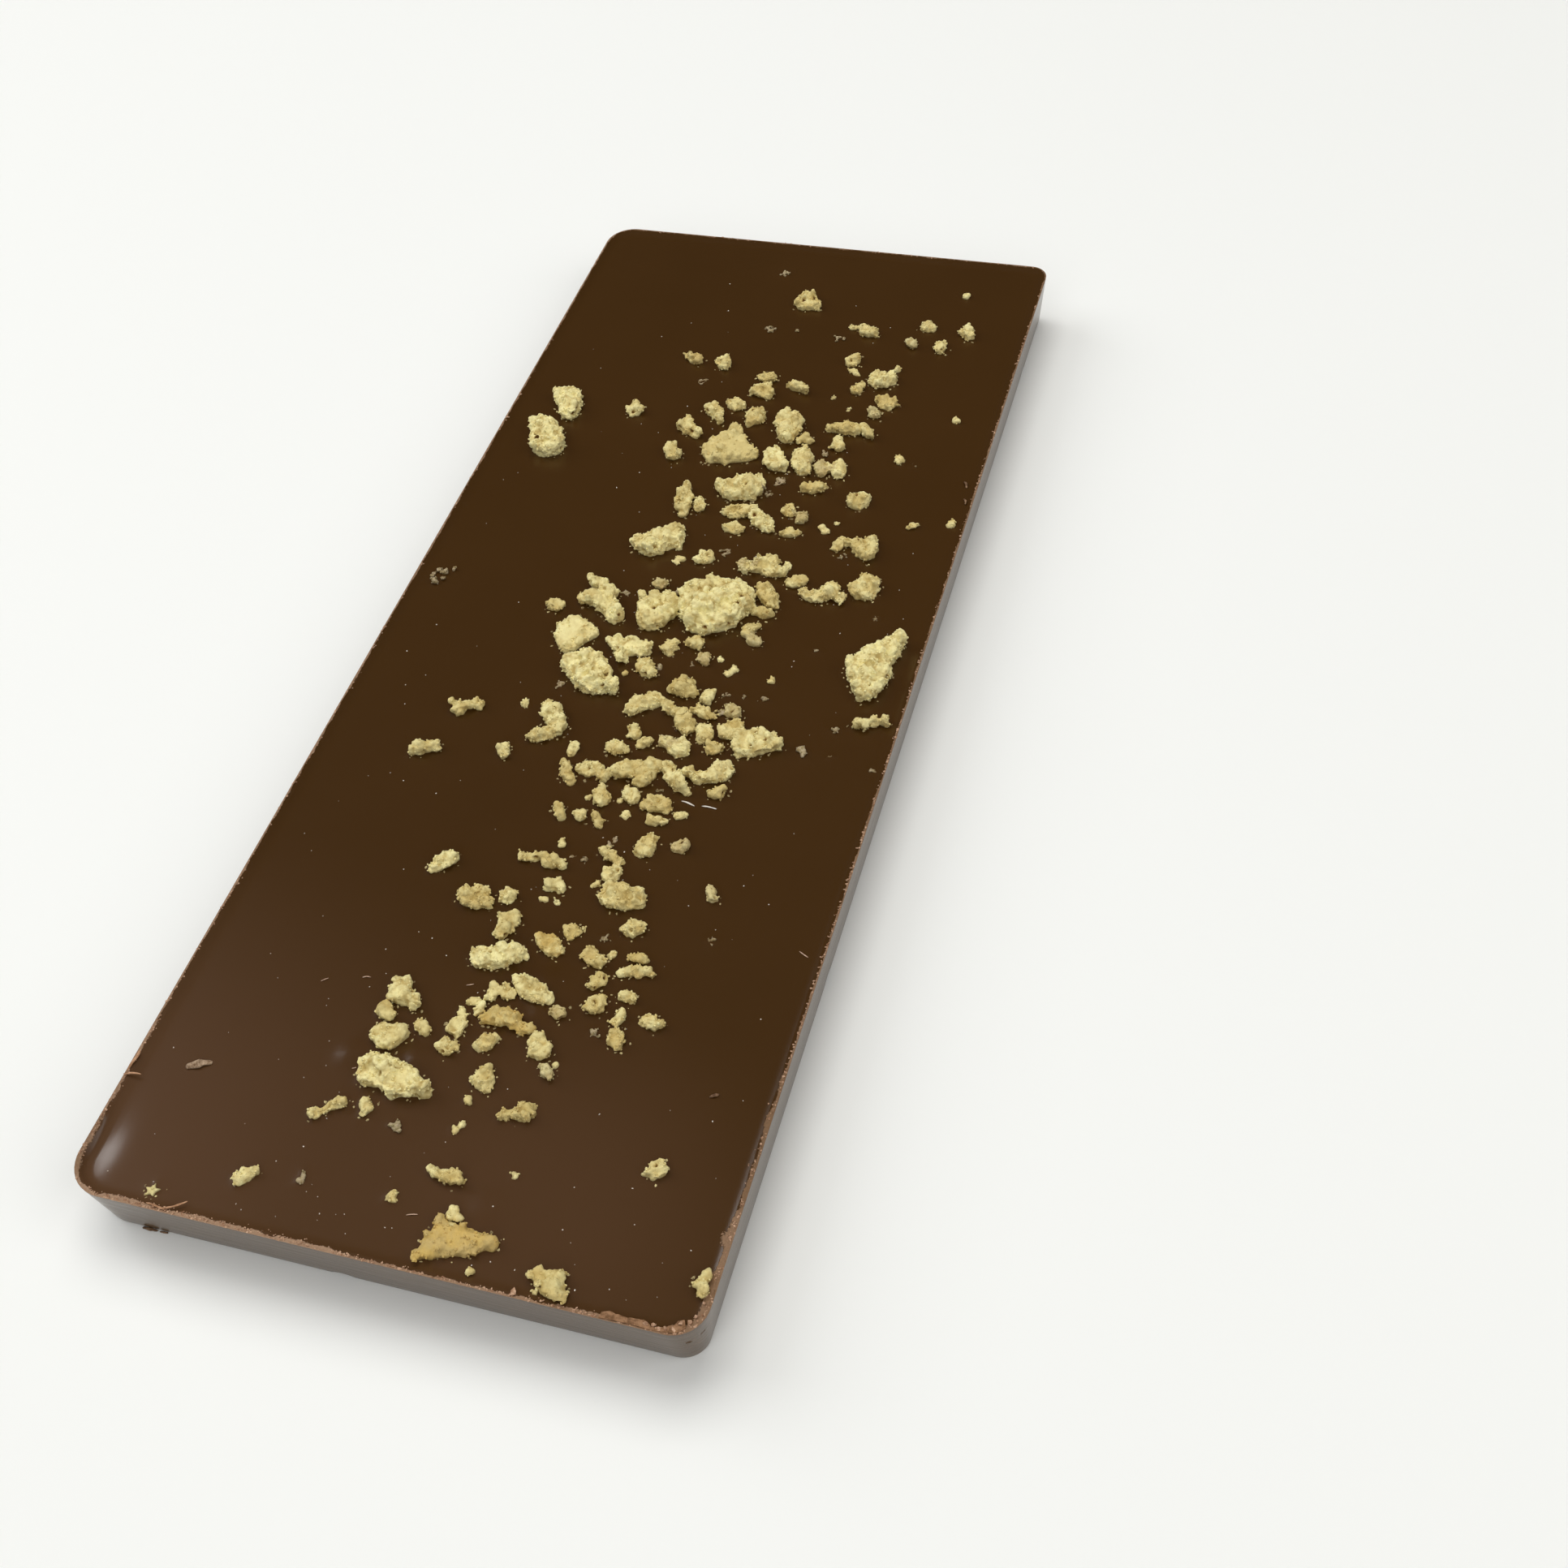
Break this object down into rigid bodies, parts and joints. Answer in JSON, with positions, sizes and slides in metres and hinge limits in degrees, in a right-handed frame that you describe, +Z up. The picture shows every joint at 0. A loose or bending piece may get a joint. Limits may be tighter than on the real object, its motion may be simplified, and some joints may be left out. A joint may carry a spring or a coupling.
{
  "type": "maple chocolate bar",
  "caption": "Flat moulded chocolate bar lying back up, with maple sugar flakes set into its back and break grooves in its moulded face.",
  "frame": {"origin": "middle of the moulded face that the bar rests on", "axes": "+Y along the bar's length, +X across its width, +Z up through the back that carries the flakes"},
  "size_m": [0.06, 0.15, 0.0096],
  "materials": {
    "chocolate": "satin set chocolate, glossier where it touched the mould",
    "maple_flakes": "matte, grainy crystallised maple sugar"
  },
  "bodies": {
    "root": {"maple_chocolate_bar": "chocolate"}
  },
  "joints": []
}
